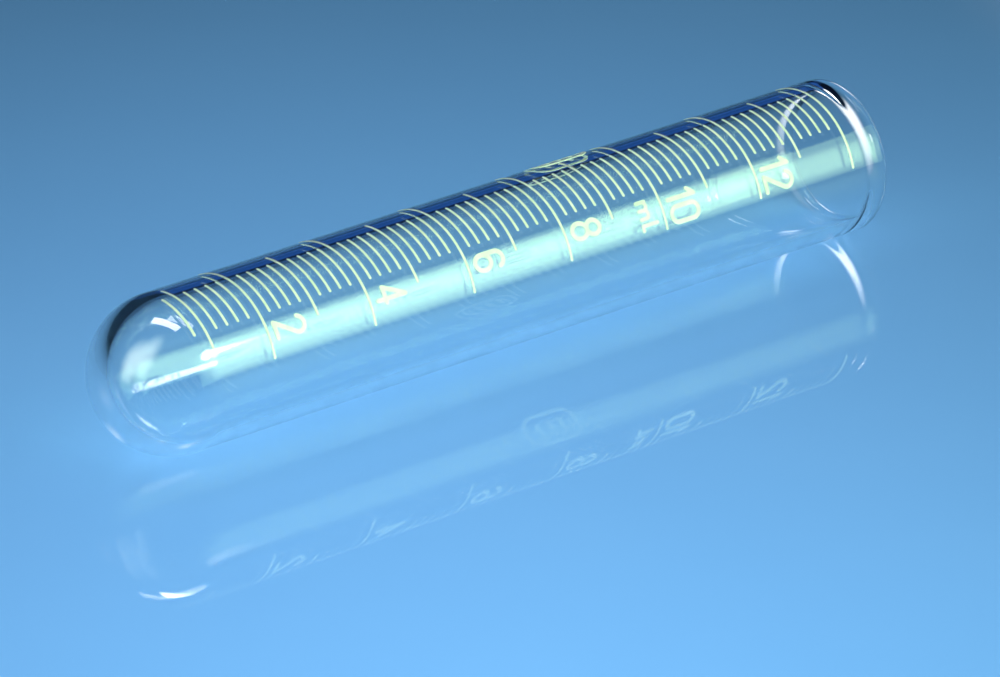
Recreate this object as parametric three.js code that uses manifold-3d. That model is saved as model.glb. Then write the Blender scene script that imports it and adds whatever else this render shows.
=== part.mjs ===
// Graduated round-bottom test tube, lying on its side. Millimetres, +Z up.
//
// The tube's axis runs along X: the round bottom is at -X and the open mouth at +X. The origin is
// under the middle of the tube, on the surface that it lies on. The glass is one blown and
// fire-polished piece. Each line, numeral and mark of the scale is a separate patch of fired enamel
// on the outside of the glass.

import * as THREE from 'three';
import { mergeVertices } from 'three/addons/utils/BufferGeometryUtils.js';
import { TessellateModifier } from 'three/addons/modifiers/TessellateModifier.js';
import Module from 'manifold-3d';

const wasm = await Module();
wasm.setup();

// ---------------------------------------------------------------- driving dimensions

// Glass tube.
const LENGTH = 96.5;
const OUTER_DIAMETER = 16.5;
const WALL = 1.18;
const BASE_THICKNESS = 2.3;
const LIP_ROUNDING = 0.45;
const FACETS = 48;
const BOTTOM_STEPS = 12;
const LIP_STEPS = 4;

// Fired enamel. It lies this far off the nominal surface, so that it clears every facet's edge.
const ENAMEL_GAP = 0.04;
const ENAMEL_THICKNESS = 0.08;

// Scale. Angles are in degrees round the axis, from the side that faces -Y up towards the top.
const SECOND_LINE_HEIGHT = 15.26;
const LINE_COUNT = 14;
// The thick base makes the millilitre below the second line longer than the ones above it.
const LOW_MILLILITRE_LENGTH = 6.68;
const LINE_WIDTH = 0.3;
const SCALE_MERIDIAN = 68.7;
const ODD_LINE_HALF_ANGLE = 33.2;
const EVEN_LINE_HALF_ANGLE = 52.5;
const LINE_STEP_ANGLE = 4.5;

// Lettering: the box that a digit fills, its stroke, and where the numbers start.
const DIGIT_HEIGHT = 4.0;
const DIGIT_WIDTH = 2.1;
const STROKE = 0.5;
const NUMBER_LEFT_ANGLE = 42.0;
const NUMBER_RISE = 0.72;
const NARROW_DIGIT_WIDTH = 1.1;
const DIGIT_SPACE = 0.35;
const ONE_FLAG_DROP = 0.7;
const TWO_NECK_ANGLE = -35;
const TWO_HOOK_ANGLE = 165;
const FOUR_BAR_RISE = 1.0;
const FOUR_BAR_OVERHANG = 0.4;
const SIX_BOWL_HEIGHT = 1.96;
const SIX_HOOK_ANGLE = 15;
const EIGHT_LOWER_HEIGHT = 1.88;
const EIGHT_UPPER_INSET = 0.06;

// Unit mark, which stands just below the 10 line.
const UNIT_DROP = 3.2;
const UNIT_X_HEIGHT = 1.5;
const UNIT_M_WIDTH = 2.15;
const UNIT_ASCENDER = 2.35;
const UNIT_FOOT = 0.5;
const UNIT_STROKE = 0.42;
const UNIT_SPACE = 0.25;

// Plain framed panel on the back, between the 8 and 10 lines.
const PANEL_LENGTH = 7.0;
const PANEL_WIDTH = 4.6;
const PANEL_CORNER = 1.5;
const PANEL_STROKE = 0.45;
const PANEL_CENTRE_HEIGHT = 61.2;
const PANEL_CENTRE_ANGLE = 121.0;
const PANEL_BARS = 3;
const PANEL_BAR_PITCH = 1.5;
const PANEL_BAR_LENGTH = 1.9;

// Longest edge left in flat lettering before it is wrapped round the tube.
const WRAP_EDGE = 0.75;
const CURVE_STEPS = 14;
const CAP_STEPS = 4;

// ---------------------------------------------------------------- derived dimensions

const OUTER_RADIUS = OUTER_DIAMETER / 2;
const BORE_RADIUS = OUTER_RADIUS - WALL;
const ENAMEL_RADIUS = OUTER_RADIUS + ENAMEL_GAP;
// A millilitre of liquid fills this length of the bore.
const MILLILITRE_PITCH = 1000 / (Math.PI * BORE_RADIUS ** 2);
// The tube lies on the middle of one facet, so its axis is this high.
const AXIS_HEIGHT = OUTER_RADIUS;
// The facets touch the true round at their middles, so their edges stand out by this factor.
const FACET_REACH = 1 / Math.cos(Math.PI / FACETS);

const radians = THREE.MathUtils.degToRad;

// How high a line of the scale stands above the outside pole of the round bottom.
function lineHeight(millilitres) {
  const above = millilitres - 2;
  return SECOND_LINE_HEIGHT + above * (above < 0 ? LOW_MILLILITRE_LENGTH : MILLILITRE_PITCH);
}

// ---------------------------------------------------------------- materials

const glassMaterial = () =>
  new THREE.MeshStandardMaterial({ color: 0xd8e6ee, roughness: 0.03, metalness: 0.0 });

const enamelMaterial = () =>
  new THREE.MeshStandardMaterial({ color: 0xecf3e6, roughness: 0.45, metalness: 0.0 });

// ---------------------------------------------------------------- glass tube

// Points along an arc in the half-plane of the profile: x is the radius, y the height.
function arcPoints(centreX, centreY, radius, fromDegrees, toDegrees, steps) {
  const clockwise = toDegrees < fromDegrees;
  const curve = new THREE.EllipseCurve(
    centreX, centreY, radius, radius, radians(fromDegrees), radians(toDegrees), clockwise);
  return curve.getPoints(steps);
}

// From the outside pole of the round bottom, up the wall, over the lip and down to the inside pole.
function glassProfile() {
  const lipHeight = LENGTH - LIP_ROUNDING;
  const boreCentreHeight = BASE_THICKNESS + BORE_RADIUS;
  const outerLipX = OUTER_RADIUS - LIP_ROUNDING;
  const innerLipX = BORE_RADIUS + LIP_ROUNDING;
  const profile = [
    ...arcPoints(0, OUTER_RADIUS, OUTER_RADIUS, -90, 0, BOTTOM_STEPS),
    ...arcPoints(outerLipX, lipHeight, LIP_ROUNDING, 0, 90, LIP_STEPS),
    ...arcPoints(innerLipX, lipHeight, LIP_ROUNDING, 90, 180, LIP_STEPS),
    ...arcPoints(0, boreCentreHeight, BORE_RADIUS, 0, -90, BOTTOM_STEPS),
  ];
  return profile.map((point) => new THREE.Vector2(point.x * FACET_REACH, point.y));
}

function glassTube() {
  // Half a facet of turn puts the middle of one facet at the bottom.
  const halfFacet = Math.PI / FACETS;
  const geometry = new THREE.LatheGeometry(glassProfile(), FACETS, halfFacet);
  geometry.rotateZ(-Math.PI / 2);
  return geometry;
}

// ---------------------------------------------------------------- lines of the scale

// A line is a band of enamel along an arc of the outside, extruded by the width of the line.
function lineGeometry(halfAngle) {
  const from = radians(SCALE_MERIDIAN - halfAngle);
  const to = radians(SCALE_MERIDIAN + halfAngle);
  const band = new THREE.Shape();
  band.absarc(0, 0, ENAMEL_RADIUS + ENAMEL_THICKNESS, from, to, false);
  band.absarc(0, 0, ENAMEL_RADIUS, to, from, true);
  const geometry = new THREE.ExtrudeGeometry(band, {
    depth: LINE_WIDTH,
    bevelEnabled: false,
    curveSegments: Math.ceil(halfAngle / LINE_STEP_ANGLE),
  });
  geometry.translate(0, 0, -LINE_WIDTH / 2);
  // The shape's x points to -Y and its y points up, so the extrusion runs along -X.
  const basis = new THREE.Matrix4().makeBasis(
    new THREE.Vector3(0, -1, 0), new THREE.Vector3(0, 0, 1), new THREE.Vector3(-1, 0, 0));
  return geometry.applyMatrix4(basis);
}

// ---------------------------------------------------------------- strokes

const curveStroke = (curve) => ({ points: curve.getPoints(CURVE_STEPS), closed: false });
const ringStroke = (points) => ({ points, closed: true });
const straightStroke = (x0, y0, x1, y1) => ({
  points: [new THREE.Vector2(x0, y0), new THREE.Vector2(x1, y1)],
  closed: false,
});

function arcStroke(centreX, centreY, radiusX, radiusY, fromDegrees, toDegrees) {
  const clockwise = toDegrees < fromDegrees;
  return curveStroke(new THREE.EllipseCurve(
    centreX, centreY, radiusX, radiusY, radians(fromDegrees), radians(toDegrees), clockwise));
}

function ovalStroke(centreX, centreY, radiusX, radiusY) {
  const oval = new THREE.EllipseCurve(centreX, centreY, radiusX, radiusY, 0, 2 * Math.PI);
  return ringStroke(oval.getPoints(2 * CURVE_STEPS).slice(0, -1));
}

// A rounded rectangle round a centre, as a ring of points.
function roundedRing(centreX, centreY, halfWidth, halfHeight, corner) {
  const reachX = halfWidth - corner;
  const reachY = halfHeight - corner;
  const corners = [[1, 1, 0], [-1, 1, 90], [-1, -1, 180], [1, -1, 270]];
  const points = corners.flatMap(([sideX, sideY, start]) => arcPoints(
    centreX + sideX * reachX, centreY + sideY * reachY, corner, start, start + 90, CURVE_STEPS / 2));
  return points.filter((point, i) => point.distanceTo(points.at(i - 1)) > 1e-6);
}

// The points pushed sideways, to the left of the way that they run.
function offsetPoints(points, distance, closed) {
  const last = points.length - 1;
  return points.map((point, i) => {
    const before = i > 0 ? points[i - 1] : (closed ? points[last] : point);
    const after = i < last ? points[i + 1] : (closed ? points[0] : point);
    const along = new THREE.Vector2().subVectors(after, before).normalize();
    return new THREE.Vector2(point.x - along.y * distance, point.y + along.x * distance);
  });
}

// The half-circle that ends a stroke, from its right side round to its left side or back.
function roundEnd(tip, heading, radius) {
  const start = THREE.MathUtils.radToDeg(heading) - 90;
  return arcPoints(tip.x, tip.y, radius, start, start + 180, CAP_STEPS).slice(1, -1);
}

function strokeShape({ points, closed }, width) {
  const right = offsetPoints(points, -width / 2, closed);
  const left = offsetPoints(points, width / 2, closed);
  if (closed) {
    const shape = new THREE.Shape(right);
    shape.holes.push(new THREE.Path(left.reverse()));
    return shape;
  }
  const endHeading = new THREE.Vector2().subVectors(points.at(-1), points.at(-2)).angle();
  const startHeading = new THREE.Vector2().subVectors(points[0], points[1]).angle();
  return new THREE.Shape([
    ...right,
    ...roundEnd(points.at(-1), endHeading, width / 2),
    ...left.reverse(),
    ...roundEnd(points[0], startHeading, width / 2),
  ]);
}

// ---------------------------------------------------------------- joined and wrapped strokes

function toManifold(geometry) {
  const bare = geometry.clone();
  bare.deleteAttribute('normal');
  bare.deleteAttribute('uv');
  const merged = mergeVertices(bare, 1e-5);
  return new wasm.Manifold(new wasm.Mesh({
    numProp: 3,
    vertProperties: merged.attributes.position.array,
    triVerts: Uint32Array.from(merged.index.array),
  }));
}

function fromManifold(solid) {
  const mesh = solid.getMesh();
  const geometry = new THREE.BufferGeometry();
  geometry.setAttribute('position', new THREE.Float32BufferAttribute(mesh.vertProperties, 3));
  geometry.setIndex(Array.from(mesh.triVerts));
  return geometry;
}

// Strokes joined into one flat solid of enamel.
function flatStrokes(strokes, width) {
  const solids = strokes.map((stroke) => toManifold(new THREE.ExtrudeGeometry(
    strokeShape(stroke, width), { depth: ENAMEL_THICKNESS, bevelEnabled: false })));
  return fromManifold(solids.reduce((joined, solid) => joined.add(solid)));
}

// Wraps a flat solid round the glass. Its y runs towards the mouth, its x round the tube, and its
// z outwards. leftAngle is where x = 0 lies.
function wrap(flat, leftAngle) {
  const wrapped = mergeVertices(new TessellateModifier(WRAP_EDGE, 12).modify(flat), 1e-5);
  const position = wrapped.attributes.position;
  for (let i = 0; i < position.count; i += 1) {
    const angle = radians(leftAngle) - position.getX(i) / OUTER_RADIUS;
    const radius = ENAMEL_RADIUS + position.getZ(i);
    position.setXYZ(i, position.getY(i), -radius * Math.cos(angle), radius * Math.sin(angle));
  }
  wrapped.computeVertexNormals();
  return wrapped;
}

// ---------------------------------------------------------------- letters

// Each function gives a character's strokes in a box of the digit's height. low and high are the
// lowest and highest centre line of a stroke; left and right are the outermost ones.
const low = STROKE / 2;
const high = DIGIT_HEIGHT - STROKE / 2;
const left = STROKE / 2;
const right = DIGIT_WIDTH - STROKE / 2;
const middle = DIGIT_WIDTH / 2;
const bowl = (right - left) / 2;

const oneStrokes = () => {
  const stem = NARROW_DIGIT_WIDTH - STROKE / 2;
  return [
    straightStroke(stem, low, stem, high),
    straightStroke(left, high - ONE_FLAG_DROP, stem, high),
  ];
};

const twoStrokes = () => {
  const neckX = middle + bowl * Math.cos(radians(TWO_NECK_ANGLE));
  const neckY = high - bowl + bowl * Math.sin(radians(TWO_NECK_ANGLE));
  return [
    arcStroke(middle, high - bowl, bowl, bowl, TWO_HOOK_ANGLE, TWO_NECK_ANGLE),
    straightStroke(neckX, neckY, left, low),
    straightStroke(left, low, right, low),
  ];
};

const fourStrokes = () => {
  const stem = right - FOUR_BAR_OVERHANG;
  const bar = low + FOUR_BAR_RISE;
  return [
    straightStroke(stem, low, stem, high),
    straightStroke(stem, high, left, bar),
    straightStroke(left, bar, right, bar),
  ];
};

const sixStrokes = () => {
  const loop = SIX_BOWL_HEIGHT / 2;
  const shoulder = high - bowl;
  return [
    ovalStroke(middle, low + loop, bowl, loop),
    straightStroke(left, low + loop, left, shoulder),
    arcStroke(middle, shoulder, bowl, bowl, 180, SIX_HOOK_ANGLE),
  ];
};

const eightStrokes = () => {
  const lower = EIGHT_LOWER_HEIGHT / 2;
  const upper = (high - low) / 2 - lower;
  return [
    ovalStroke(middle, low + lower, bowl, lower),
    ovalStroke(middle, high - upper, bowl - EIGHT_UPPER_INSET, upper),
  ];
};

const zeroStrokes = () => [
  ringStroke(roundedRing(middle, DIGIT_HEIGHT / 2, bowl, (high - low) / 2, bowl - 0.01)),
];

const unitMStrokes = () => {
  const foot = UNIT_STROKE / 2;
  const arch = (UNIT_M_WIDTH - UNIT_STROKE) / 4;
  const spring = UNIT_X_HEIGHT - foot - arch;
  const stems = [foot, foot + 2 * arch, foot + 4 * arch];
  return [
    ...stems.map((x) => straightStroke(x, foot, x, spring)),
    straightStroke(foot, spring, foot, UNIT_X_HEIGHT - foot),
    ...stems.slice(1).map((x) => arcStroke(x - arch, spring, arch, arch, 180, 0)),
  ];
};

const unitLStrokes = () => {
  const foot = UNIT_STROKE / 2;
  return [
    straightStroke(foot, foot, foot, UNIT_ASCENDER - foot),
    straightStroke(foot, foot, foot + UNIT_FOOT, foot),
  ];
};

const DIGITS = {
  0: { strokes: zeroStrokes, width: DIGIT_WIDTH },
  1: { strokes: oneStrokes, width: NARROW_DIGIT_WIDTH },
  2: { strokes: twoStrokes, width: DIGIT_WIDTH },
  4: { strokes: fourStrokes, width: DIGIT_WIDTH },
  6: { strokes: sixStrokes, width: DIGIT_WIDTH },
  8: { strokes: eightStrokes, width: DIGIT_WIDTH },
};

// ---------------------------------------------------------------- assembly

// Inside this group x is the height above the round bottom's outside pole.
const tube = new THREE.Group();
tube.position.set(-LENGTH / 2, 0, AXIS_HEIGHT);

function addPiece(name, geometry, material, height) {
  const mesh = new THREE.Mesh(geometry, material);
  mesh.name = name;
  mesh.position.x = height;
  tube.add(mesh);
}

// Lettering whose left edge is leftOffset round from leftAngle.
function addLettering(name, strokes, width, height, leftAngle, leftOffset) {
  const angle = leftAngle - THREE.MathUtils.radToDeg(leftOffset / OUTER_RADIUS);
  addPiece(name, wrap(flatStrokes(strokes, width), angle), enamelMaterial(), height);
}

function addScaleLines() {
  for (let volume = 1; volume <= LINE_COUNT; volume += 1) {
    const halfAngle = volume % 2 === 0 ? EVEN_LINE_HALF_ANGLE : ODD_LINE_HALF_ANGLE;
    const name = `scale_line_${String(volume).padStart(2, '0')}_ml`;
    addPiece(name, lineGeometry(halfAngle), enamelMaterial(), lineHeight(volume));
  }
}

function addNumerals() {
  for (const number of ['2', '4', '6', '8', '10', '12']) {
    let offset = 0;
    for (const [place, digit] of [...number].entries()) {
      const { strokes, width } = DIGITS[digit];
      const suffix = number.length === 1 ? '' : ['_tens', '_units'][place];
      addLettering(`numeral_${number}${suffix}`, strokes(), STROKE,
        lineHeight(Number(number)) + NUMBER_RISE, NUMBER_LEFT_ANGLE, offset);
      offset += width + DIGIT_SPACE;
    }
  }
}

function addUnitMark() {
  const height = lineHeight(10) - UNIT_DROP;
  addLettering('unit_letter_m', unitMStrokes(), UNIT_STROKE, height, NUMBER_LEFT_ANGLE, 0);
  addLettering('unit_letter_l', unitLStrokes(), UNIT_STROKE, height, NUMBER_LEFT_ANGLE,
    UNIT_M_WIDTH + UNIT_SPACE);
}

function addBackPanel() {
  const reach = (PANEL_LENGTH - PANEL_STROKE) / 2;
  const side = (PANEL_WIDTH - PANEL_STROKE) / 2;
  const frame = ringStroke(roundedRing(0, 0, side, reach, PANEL_CORNER));
  addLettering('back_panel_frame', [frame], PANEL_STROKE, PANEL_CENTRE_HEIGHT, PANEL_CENTRE_ANGLE, 0);
  const middleBar = (PANEL_BARS + 1) / 2;
  for (let bar = 1; bar <= PANEL_BARS; bar += 1) {
    const stroke = straightStroke(-PANEL_BAR_LENGTH / 2, 0, PANEL_BAR_LENGTH / 2, 0);
    const height = PANEL_CENTRE_HEIGHT + (bar - middleBar) * PANEL_BAR_PITCH;
    addLettering(`back_panel_bar_${bar}`, [stroke], PANEL_STROKE, height, PANEL_CENTRE_ANGLE, 0);
  }
}

addPiece('glass_tube', glassTube(), glassMaterial(), 0);
addScaleLines();
addNumerals();
addUnitMark();
addBackPanel();

const testTube = new THREE.Group();
testTube.add(tube);

export default testTube;
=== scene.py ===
"""Looks for the graduated test tube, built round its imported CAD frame. Metres, +Z up.

The tube lies along X, with the round bottom at -X and the mouth at +X. The glass is remade as a
smooth wall with a fire-polished lip. The enamel is remade fused to the glass: the scale's lines by
their own function, and the lettering from the CAD outlines, set down onto the surface.
"""

import math

import bpy
import numpy as np
from mathutils import Euler, Matrix, Vector


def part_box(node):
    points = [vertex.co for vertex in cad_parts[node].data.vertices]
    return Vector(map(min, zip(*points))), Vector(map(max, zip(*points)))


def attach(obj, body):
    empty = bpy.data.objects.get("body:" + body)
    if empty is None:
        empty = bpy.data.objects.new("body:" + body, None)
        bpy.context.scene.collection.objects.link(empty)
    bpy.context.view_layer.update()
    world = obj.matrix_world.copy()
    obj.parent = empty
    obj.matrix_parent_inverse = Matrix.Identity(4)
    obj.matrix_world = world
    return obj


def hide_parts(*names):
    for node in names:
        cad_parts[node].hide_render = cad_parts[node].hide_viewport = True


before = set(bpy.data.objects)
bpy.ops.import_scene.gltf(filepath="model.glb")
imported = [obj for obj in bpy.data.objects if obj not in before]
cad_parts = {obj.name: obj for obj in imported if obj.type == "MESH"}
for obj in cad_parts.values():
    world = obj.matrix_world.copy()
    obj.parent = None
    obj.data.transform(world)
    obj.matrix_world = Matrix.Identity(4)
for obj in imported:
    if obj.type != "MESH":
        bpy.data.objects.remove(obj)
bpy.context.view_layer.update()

MM = 0.001
BODY = "root"
# The groups of pieces that lights are linked to.
tube_pieces = bpy.data.collections.new("tube_pieces")
floor_pieces = bpy.data.collections.new("floor_pieces")

# ------------------------------------------------------------------ sizes from the frame

GLASS_NODE = "glass_tube"
glass_low, glass_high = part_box(GLASS_NODE)
OUTER_RADIUS = (glass_high.y - glass_low.y) / 2
AXIS_Z = glass_low.z + OUTER_RADIUS
BOTTOM_X = glass_low.x
RIM_X = glass_high.x
BOTTOM_CENTRE_X = BOTTOM_X + OUTER_RADIUS

WALL = 1.18 * MM
BASE_THICKNESS = 2.3 * MM
BORE_RADIUS = OUTER_RADIUS - WALL
BORE_CENTRE_X = BOTTOM_X + BASE_THICKNESS + BORE_RADIUS


def node_middle_x(node):
    low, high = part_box(node)
    return (low.x + high.x) / 2


LAST_VOLUME = 14
SECOND_LINE_X = node_middle_x("scale_line_02_ml")
LOW_PITCH = SECOND_LINE_X - node_middle_x("scale_line_01_ml")
LAST_LINE_X = node_middle_x(f"scale_line_{LAST_VOLUME}_ml")
LINE_PITCH = (LAST_LINE_X - SECOND_LINE_X) / (LAST_VOLUME - 2)


def line_x(volume):
    """Where the line for a volume in millilitres lies along the tube."""
    above = volume - 2
    return SECOND_LINE_X + above * (LOW_PITCH if above < 0 else LINE_PITCH)


# Angles round the axis, in degrees: 0 faces -Y and 90 is the top.
SCALE_MERIDIAN = 68.7
SHORT_HALF_ANGLE = 20.3
ODD_HALF_ANGLE = 33.2
EVEN_HALF_ANGLE = 52.5
LINE_WIDTH = 0.3 * MM
ENAMEL_SINK = 0.03 * MM
ENAMEL_PROUD = 0.05 * MM


# ------------------------------------------------------------------ small helpers

def round_tube(x, radius, angle):
    """A point at this radius and angle (radians) round the tube's axis."""
    return Vector((x, -radius * math.cos(angle), AXIS_Z + radius * math.sin(angle)))


def make_object(name, vertices, faces, material):
    """A smooth-shaded piece that rides on the part's one body."""
    mesh = bpy.data.meshes.new(name)
    mesh.from_pydata([tuple(v) for v in vertices], [], faces)
    mesh.validate()
    mesh.materials.append(material)
    mesh.shade_smooth()
    piece = bpy.data.objects.new(name, mesh)
    bpy.context.scene.collection.objects.link(piece)
    tube_pieces.objects.link(piece)
    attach(piece, BODY)
    return piece


def new_material(name):
    """A node material: the material, its shader, and functions that add and link nodes."""
    material = bpy.data.materials.new(name)
    material.use_nodes = True
    nodes = material.node_tree.nodes
    shader = nodes["Principled BSDF"]

    def add(kind, **settings):
        node = nodes.new(kind)
        for key, value in settings.items():
            if hasattr(node, key):
                setattr(node, key, value)
            else:
                node.inputs[key].default_value = value
        return node

    return material, shader, add, material.node_tree.links.new


def object_coordinates(add, link, scale):
    """The piece's own coordinates, in metres, scaled per axis."""
    place = add("ShaderNodeTexCoord")
    mapping = add("ShaderNodeMapping")
    mapping.inputs["Scale"].default_value = scale
    link(place.outputs["Object"], mapping.inputs["Vector"])
    return mapping.outputs["Vector"]


# ------------------------------------------------------------------ materials

GLASS_COLOUR = (0.985, 1.0, 0.997, 1)
GLASS_IOR = 1.473
# Waves per metre of the drawn lines: long along the tube (X), fine round it.
DRAWN_LINES = (9, 420, 420)
ENAMEL_SHADE = (0.64, 0.86, 0.68, 1)
ENAMEL_COLOUR = (0.80, 0.98, 0.80, 1)
ENAMEL_TRANSLUCENCY = 0.5
ENAMEL_DEPTH = 0.3 * MM
FLOOR_SHADE = (0.12, 0.32, 0.67, 1)
FLOOR_COLOUR = (0.14, 0.35, 0.71, 1)
FLOOR_ROUGHNESS = 0.02
FLOOR_IOR = 1.44
UNSCALED = (1, 1, 1)


def glass_material():
    """Clear borosilicate: smooth, with the faint lengthwise lines of drawn tubing."""
    material, shader, add, link = new_material("clear_glass")
    shader.inputs["Base Color"].default_value = GLASS_COLOUR
    shader.inputs["IOR"].default_value = GLASS_IOR
    shader.inputs["Transmission Weight"].default_value = 1.0
    shader.inputs["Roughness"].default_value = 0.0
    vector = object_coordinates(add, link, DRAWN_LINES)
    drawn = add("ShaderNodeTexNoise", Scale=1.0, Detail=2.0, Roughness=0.5)
    link(vector, drawn.inputs["Vector"])
    bump = add("ShaderNodeBump", Strength=0.12, Distance=0.02 * MM)
    link(drawn.outputs["Fac"], bump.inputs["Height"])
    link(bump.outputs["Normal"], shader.inputs["Normal"])
    return material


def enamel_material():
    """Fired enamel: greenish white, a little grainy and uneven in cover, and translucent."""
    material, shader, add, link = new_material("scale_enamel")
    vector = object_coordinates(add, link, UNSCALED)
    cover = add("ShaderNodeTexNoise", Scale=900.0, Detail=3.0, Roughness=0.6)
    link(vector, cover.inputs["Vector"])
    tone = add("ShaderNodeValToRGB")
    tone.color_ramp.elements[0].position = 0.3
    tone.color_ramp.elements[0].color = ENAMEL_SHADE
    tone.color_ramp.elements[1].position = 0.62
    tone.color_ramp.elements[1].color = ENAMEL_COLOUR
    link(cover.outputs["Fac"], tone.inputs["Fac"])
    link(tone.outputs["Color"], shader.inputs["Base Color"])
    shader.inputs["Subsurface Weight"].default_value = ENAMEL_TRANSLUCENCY
    shader.inputs["Subsurface Radius"].default_value = (1.0, 1.0, 1.0)
    shader.inputs["Subsurface Scale"].default_value = ENAMEL_DEPTH
    grain = add("ShaderNodeTexNoise", Scale=6000.0, Detail=2.0, Roughness=0.5)
    link(vector, grain.inputs["Vector"])
    gloss = add("ShaderNodeMapRange")
    gloss.inputs["To Min"].default_value = 0.38
    gloss.inputs["To Max"].default_value = 0.58
    link(grain.outputs["Fac"], gloss.inputs["Value"])
    link(gloss.outputs["Result"], shader.inputs["Roughness"])
    bump = add("ShaderNodeBump", Strength=0.35, Distance=0.01 * MM)
    link(grain.outputs["Fac"], bump.inputs["Height"])
    link(bump.outputs["Normal"], shader.inputs["Normal"])
    return material


def floor_material():
    """A plain light blue sheet, glossy enough to mirror the tube faintly."""
    material, shader, add, link = new_material("floor_sheet")
    vector = object_coordinates(add, link, UNSCALED)
    mottle = add("ShaderNodeTexNoise", Scale=14.0, Detail=4.0, Roughness=0.55)
    link(vector, mottle.inputs["Vector"])
    tone = add("ShaderNodeValToRGB")
    tone.color_ramp.elements[0].color = FLOOR_SHADE
    tone.color_ramp.elements[1].color = FLOOR_COLOUR
    link(mottle.outputs["Fac"], tone.inputs["Fac"])
    link(tone.outputs["Color"], shader.inputs["Base Color"])
    shader.inputs["Roughness"].default_value = FLOOR_ROUGHNESS
    shader.inputs["IOR"].default_value = FLOOR_IOR
    return material


# ------------------------------------------------------------------ glass tube

ROUND_SEGMENTS = 256
BOTTOM_STEPS = 48
LIP_STEPS = 20
WALL_RINGS = 24
# The fire-polished lip rounds over this far along the tube, and swells into the bore.
LIP_LENGTH = 0.8 * MM
BEAD_SWELL = 0.28 * MM
BEAD_LENGTH = 2.2 * MM
BEAD_STEPS = 14


def arc(centre_x, centre_r, radius_x, radius_r, start, end, steps):
    """Profile points on an ellipse: x along the tube, r from its axis, degrees from +r."""
    for i in range(steps + 1):
        angle = math.radians(start + (end - start) * i / steps)
        yield centre_x + radius_x * math.sin(angle), centre_r + radius_r * math.cos(angle)


def glass_profile():
    """From the outside pole of the round bottom, over the lip, to the inside pole."""
    lip = (WALL + BEAD_SWELL) / 2
    lip_x = RIM_X - LIP_LENGTH
    bead_x = lip_x - BEAD_LENGTH
    outside = list(arc(BOTTOM_CENTRE_X, 0, OUTER_RADIUS, OUTER_RADIUS, -90, 0, BOTTOM_STEPS))
    over_lip = list(arc(lip_x, OUTER_RADIUS - lip, LIP_LENGTH, lip, 0, 180, LIP_STEPS))
    inside = list(arc(BORE_CENTRE_X, 0, BORE_RADIUS, BORE_RADIUS, 0, -90, BOTTOM_STEPS))
    wall_out = [(BOTTOM_CENTRE_X + (lip_x - BOTTOM_CENTRE_X) * i / WALL_RINGS, OUTER_RADIUS)
                for i in range(1, WALL_RINGS)]
    bead = [(lip_x - BEAD_LENGTH * share,
             BORE_RADIUS - BEAD_SWELL * (1 + math.cos(math.pi * share)) / 2)
            for share in (i / BEAD_STEPS for i in range(1, BEAD_STEPS))]
    wall_in = [(bead_x + (BORE_CENTRE_X - bead_x) * i / WALL_RINGS, BORE_RADIUS)
               for i in range(WALL_RINGS)]
    return outside + wall_out + over_lip + bead + wall_in + inside


def build_glass(material):
    """The profile turned about the tube's axis, with a single vertex at each pole."""
    profile = glass_profile()
    vertices = [Vector((profile[0][0], 0, AXIS_Z))]
    for x, radius in profile[1:-1]:
        for k in range(ROUND_SEGMENTS):
            vertices.append(round_tube(x, radius, 2 * math.pi * k / ROUND_SEGMENTS))
    vertices.append(Vector((profile[-1][0], 0, AXIS_Z)))
    rings = len(profile) - 2
    last = len(vertices) - 1
    faces = []
    for k in range(ROUND_SEGMENTS):
        after = (k + 1) % ROUND_SEGMENTS
        faces.append((0, 1 + k, 1 + after))
        for ring in range(rings - 1):
            a = 1 + ring * ROUND_SEGMENTS
            b = a + ROUND_SEGMENTS
            faces.append((a + k, b + k, b + after, a + after))
        a = 1 + (rings - 1) * ROUND_SEGMENTS
        faces.append((a + k, last, a + after))
    piece = make_object("glass_wall", vertices, faces, material)
    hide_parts(GLASS_NODE)
    return piece


# ------------------------------------------------------------------ enamel lines

LINE_STEP = math.radians(1.5)
END_STEPS = 4
SHARP_LINE_EDGE = math.radians(50)
# Lines run from the fourth fifth of a millilitre (0.8 mL) to the last volume.
FIFTHS = 5
FIRST_FIFTH = 4
# Across a line, from one edge to the other: share of the half width, share of the height.
LINE_CROWN = ((-1.0, 0.45), (-0.62, 0.9), (0.0, 1.0), (0.62, 0.9), (1.0, 0.45))


def outer_radius_at(x):
    """The glass's outside radius, which shrinks where a line runs onto the round bottom."""
    beyond = max(0.0, BOTTOM_CENTRE_X - x)
    return math.sqrt(OUTER_RADIUS ** 2 - beyond ** 2)


def line_stations(half_angle):
    """Angles along a line from one end to the other, each with its share of the full width."""
    cap = LINE_WIDTH / 2 / OUTER_RADIUS
    start = math.radians(SCALE_MERIDIAN) - half_angle
    end = math.radians(SCALE_MERIDIAN) + half_angle
    steps = max(2, round((end - start - 2 * cap) / LINE_STEP))
    low_cap = [(start + cap * (1 - math.cos(t)), math.sin(t))
               for t in (math.pi / 2 * (i + 0.5) / END_STEPS for i in range(END_STEPS))]
    body = [(start + cap + (end - start - 2 * cap) * i / steps, 1.0) for i in range(steps + 1)]
    high_cap = [(start + end - angle, share) for angle, share in reversed(low_cap)]
    return low_cap + body + high_cap


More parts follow.
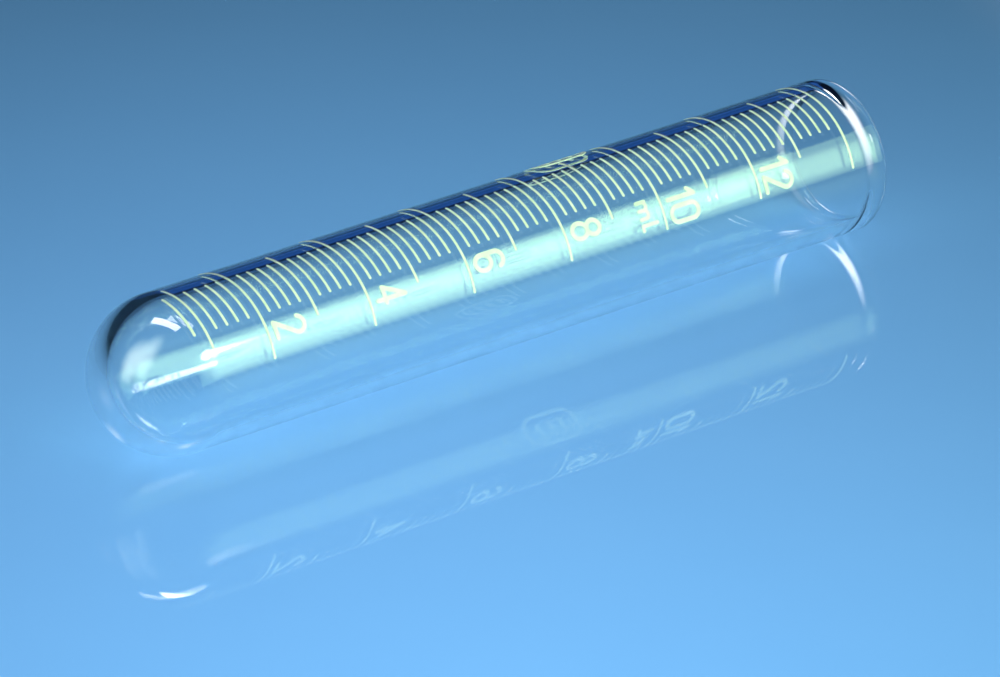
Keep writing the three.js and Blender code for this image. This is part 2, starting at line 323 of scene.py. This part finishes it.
def build_line(name, volume, half_angle, material):
    """A crowned strip of enamel with rounded ends, sunk a little into the glass."""
    middle_x = line_x(volume)
    stations = line_stations(math.radians(half_angle))
    vertices = []
    for angle, share in stations:
        half = LINE_WIDTH / 2 * share
        for side, height in LINE_CROWN:
            x = middle_x + side * half
            vertices.append(round_tube(x, outer_radius_at(x) + ENAMEL_PROUD * height, angle))
        for side in (1, -1):
            x = middle_x + side * half
            vertices.append(round_tube(x, outer_radius_at(x) - ENAMEL_SINK, angle))
    around = len(LINE_CROWN) + 2
    faces = [tuple(range(around))]
    for s in range(len(stations) - 1):
        for k in range(around):
            after = (k + 1) % around
            a, b = s * around, (s + 1) * around
            faces.append((a + after, a + k, b + k, b + after))
    first = (len(stations) - 1) * around
    faces.append(tuple(range(first + around - 1, first - 1, -1)))
    piece = make_object(name, vertices, faces, material)
    piece.data.set_sharp_from_angle(angle=SHARP_LINE_EDGE)
    return piece


def build_scale_lines(material):
    """A line every fifth of a millilitre; whole millilitres stand for their CAD nodes."""
    for fifths in range(FIRST_FIFTH, FIFTHS * LAST_VOLUME + 1):
        whole, rest = divmod(fifths, FIFTHS)
        if rest:
            name = f"short_line_{whole:02d}.{2 * rest}_ml"
            build_line(name, fifths / FIFTHS, SHORT_HALF_ANGLE, material)
            continue
        half_angle = EVEN_HALF_ANGLE if whole % 2 == 0 else ODD_HALF_ANGLE
        piece = build_line(f"enamel_line_{whole:02d}_ml", whole, half_angle, material)
        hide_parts(f"scale_line_{whole:02d}_ml")


# ------------------------------------------------------------------ enamel lettering

LETTERING = ("numeral_", "unit_letter_", "back_panel_")
SHARP_LETTER_EDGE = math.radians(40)


def set_down(node, material):
    """The CAD outline of a piece of lettering, pressed onto the glass and fused to it."""
    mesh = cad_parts[node].data.copy()
    places = np.array([v.co for v in mesh.vertices], float)
    out = np.hypot(places[:, 1], places[:, 2] - AXIS_Z)
    share = (out - out.min()) / (out.max() - out.min())
    wanted = OUTER_RADIUS - ENAMEL_SINK + share * (ENAMEL_SINK + ENAMEL_PROUD)
    places[:, 1] *= wanted / out
    places[:, 2] = AXIS_Z + (places[:, 2] - AXIS_Z) * wanted / out
    mesh.vertices.foreach_set("co", places.ravel())
    mesh.materials.clear()
    mesh.materials.append(material)
    piece = bpy.data.objects.new(f"enamel_{node}", mesh)
    bpy.context.scene.collection.objects.link(piece)
    tube_pieces.objects.link(piece)
    mesh.shade_smooth()
    mesh.set_sharp_from_angle(angle=SHARP_LETTER_EDGE)
    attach(piece, BODY)
    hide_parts(node)


def build_lettering(material):
    for node in sorted(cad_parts):
        if node.startswith(LETTERING):
            set_down(node, material)


# ------------------------------------------------------------------ camera

CAMERA_AZIMUTH = math.radians(-40.35)
CAMERA_ELEVATION = math.radians(24.37)
CAMERA_ROLL = math.radians(0.81)
CAMERA_DISTANCE = 824.3 * MM
CAMERA_AIM = Vector((-2.8, -6.3, 3.7)) * MM
SENSOR_WIDTH_MM = 36.0
LENS_MM = 295.1
NEAREST_SEEN = 0.01
FARTHEST_SEEN = 50


def build_camera():
    """The photo's viewpoint: turned about the tube, looking down, and rolled a little."""
    back = Vector((math.sin(CAMERA_AZIMUTH) * math.cos(CAMERA_ELEVATION),
                   -math.cos(CAMERA_AZIMUTH) * math.cos(CAMERA_ELEVATION),
                   math.sin(CAMERA_ELEVATION)))
    level = Vector((math.cos(CAMERA_AZIMUTH), math.sin(CAMERA_AZIMUTH), 0))
    upward = back.cross(level)
    right = level * math.cos(CAMERA_ROLL) + upward * math.sin(CAMERA_ROLL)
    up = upward * math.cos(CAMERA_ROLL) - level * math.sin(CAMERA_ROLL)
    data = bpy.data.cameras.new("camera")
    data.lens = LENS_MM
    data.sensor_width = SENSOR_WIDTH_MM
    data.clip_start = NEAREST_SEEN
    data.clip_end = FARTHEST_SEEN
    camera = bpy.data.objects.new("camera", data)
    turn = Matrix((right, up, back)).transposed().to_4x4()
    camera.matrix_world = Matrix.Translation(CAMERA_AIM + back * CAMERA_DISTANCE) @ turn
    bpy.context.scene.collection.objects.link(camera)
    bpy.context.scene.camera = camera


# ------------------------------------------------------------------ floor and lights

FLOOR_HALF = 2.5
FLOOR_DROP = 0.02 * MM


def build_floor():
    """A wide flat sheet just under the tube."""
    mesh = bpy.data.meshes.new("floor")
    corners = [(-FLOOR_HALF, -FLOOR_HALF), (FLOOR_HALF, -FLOOR_HALF),
               (FLOOR_HALF, FLOOR_HALF), (-FLOOR_HALF, FLOOR_HALF)]
    mesh.from_pydata([(x, y, -FLOOR_DROP) for x, y in corners], [], [(0, 1, 2, 3)])
    mesh.materials.append(floor_material())
    floor = bpy.data.objects.new("floor", mesh)
    bpy.context.scene.collection.objects.link(floor)
    floor_pieces.objects.link(floor)


def soften(data, core, edge_strength):
    """Fade a softbox from its bright core out to its edges, where it has this much strength."""
    data.use_nodes = True
    nodes, link = data.node_tree.nodes, data.node_tree.links.new
    place = nodes.new("ShaderNodeNewGeometry")
    offset = nodes.new("ShaderNodeVectorMath")
    offset.operation = "SUBTRACT"
    offset.inputs[1].default_value = (0.5, 0.5, 0)
    length = nodes.new("ShaderNodeVectorMath")
    length.operation = "LENGTH"
    fade = nodes.new("ShaderNodeMapRange")
    fade.interpolation_type = "SMOOTHSTEP"
    fade.inputs["From Min"].default_value = core
    fade.inputs["From Max"].default_value = 0.5
    fade.inputs["To Min"].default_value = 1.0
    fade.inputs["To Max"].default_value = edge_strength
    link(place.outputs["Parametric"], offset.inputs[0])
    link(offset.outputs["Vector"], length.inputs[0])
    link(length.outputs["Value"], fade.inputs["Value"])
    link(fade.outputs["Result"], nodes["Emission"].inputs["Strength"])


# The reflectors have the tints that they show on the glass, and the fill warms the enamel.
WHITE = (1, 1, 1)
VEIL_TINT = (0.60, 1.0, 0.58)
GLOW_TINT = (0.85, 1.0, 0.75)
FAR_TINT = (0.05, 0.25, 1.0)
SCALE_TINT = (0.80, 1.0, 0.60)
WORLD_COLOUR = (0.002, 0.005, 0.015, 1)
# The brightest part of the floor lies this far from the tube, towards the camera.
POOL_OFFSET = 110 * MM
TOP_FILL_SPREAD = math.radians(80)


def add_softbox(name, azimuth, elevation, distance, size, radiance,
                twist=0, core=None, edge=0.0, colour=WHITE, aim=Vector()):
    """A rectangular area light that faces its aim.

    Azimuth 0 is in front (-Y) and 90 is at +X. With a core, it fades from there to its edges.
    """
    width, height = size
    data = bpy.data.lights.new(name, "AREA")
    data.shape = "RECTANGLE"
    data.size = width
    data.size_y = height
    data.energy = radiance * math.pi * width * height
    data.color = colour
    if core is not None:
        soften(data, core, edge)
    turn = math.radians(azimuth)
    rise = math.radians(elevation)
    towards = Vector((math.sin(turn) * math.cos(rise),
                      -math.cos(turn) * math.cos(rise),
                      math.sin(rise)))
    facing = Euler((math.pi / 2 - rise, 0, turn)).to_matrix()
    spin = Matrix.Rotation(math.radians(twist), 3, "Z")
    light = bpy.data.objects.new(name, data)
    light.location = aim + towards * distance
    light.rotation_euler = (facing @ spin).to_euler()
    light.visible_camera = False
    bpy.context.scene.collection.objects.link(light)
    return light


def only_mirrored_by(group, *lights):
    """Keep these lights out of rough shading, and let only this group of pieces mirror them."""
    for light in lights:
        light.visible_diffuse = False
        light.light_linking.receiver_collection = group


def only_on_surfaces(light, shadows=False):
    """Keep a light out of the glass and gloss, so that it only shades the rough surfaces."""
    light.visible_glossy = False
    light.visible_transmission = False
    light.data.use_shadow = shadows


def build_reflectors():
    """What the glass mirrors and bends: the front's veil, the rim's line, the end's glow."""
    only_mirrored_by(
        tube_pieces,
        add_softbox("key_lamp", 24, 35, 0.50, (0.22, 0.12), 20.0, core=0.3),
        add_softbox("front_reflector", 30, 20, 0.80, (0.80, 0.60), 6.5, core=0.25, edge=0.4,
                    colour=VEIL_TINT),
        add_softbox("right_reflector", 122, 14, 0.80, (0.38, 0.26), 8.5, core=0.12),
        add_softbox("overhead_strip", -170, 83, 0.90, (0.16, 0.54), 20.0, twist=11),
        add_softbox("left_glow", -99, 27, 0.80, (0.48, 1.15), 12.5, core=0.0, colour=GLOW_TINT),
        add_softbox("far_glow", 142, 7, 1.50, (0.80, 0.36), 0.30, colour=FAR_TINT))
    only_mirrored_by(
        floor_pieces,
        add_softbox("floor_sheen", 30, 20, 0.80, (0.90, 0.70), 3.0, core=0.05, colour=VEIL_TINT),
        add_softbox("rim_sheen", 122, 14, 0.80, (0.38, 0.26), 6.0, core=0.12))


def build_fills():
    """What lights the floor and the enamel: the wash is linked to the floor alone."""
    pool = Vector((math.sin(CAMERA_AZIMUTH), -math.cos(CAMERA_AZIMUTH), 0)) * POOL_OFFSET
    window = add_softbox("key_window", 30, 30, 0.55, (0.30, 0.28), 1.4, core=0.18, edge=0.15)
    only_on_surfaces(window, shadows=True)
    wash = add_softbox("floor_wash", 0, 90, 0.16, (0.08, 0.08), 16.5, aim=pool)
    wash.light_linking.receiver_collection = floor_pieces
    only_on_surfaces(wash)
    scale = add_softbox("scale_fill", -10, 12, 0.50, (0.30, 0.20), 20.0, colour=SCALE_TINT)
    only_on_surfaces(scale)
    top = add_softbox("top_fill", 170, 70, 0.28, (0.14, 0.06), 2.0)
    top.data.spread = TOP_FILL_SPREAD
    only_on_surfaces(top)


def build_world():
    """Nearly dark surroundings, which the glass shows as its dark bands."""
    world = bpy.data.worlds.new("studio")
    world.use_nodes = True
    world.node_tree.nodes["Background"].inputs["Color"].default_value = WORLD_COLOUR
    bpy.context.scene.world = world
    bpy.context.scene.view_settings.view_transform = "Standard"


# ------------------------------------------------------------------ whole scene

build_camera()
enamel = enamel_material()
build_glass(glass_material())
build_scale_lines(enamel)
build_lettering(enamel)
build_floor()
build_reflectors()
build_fills()
build_world()

bpy.context.view_layer.update()
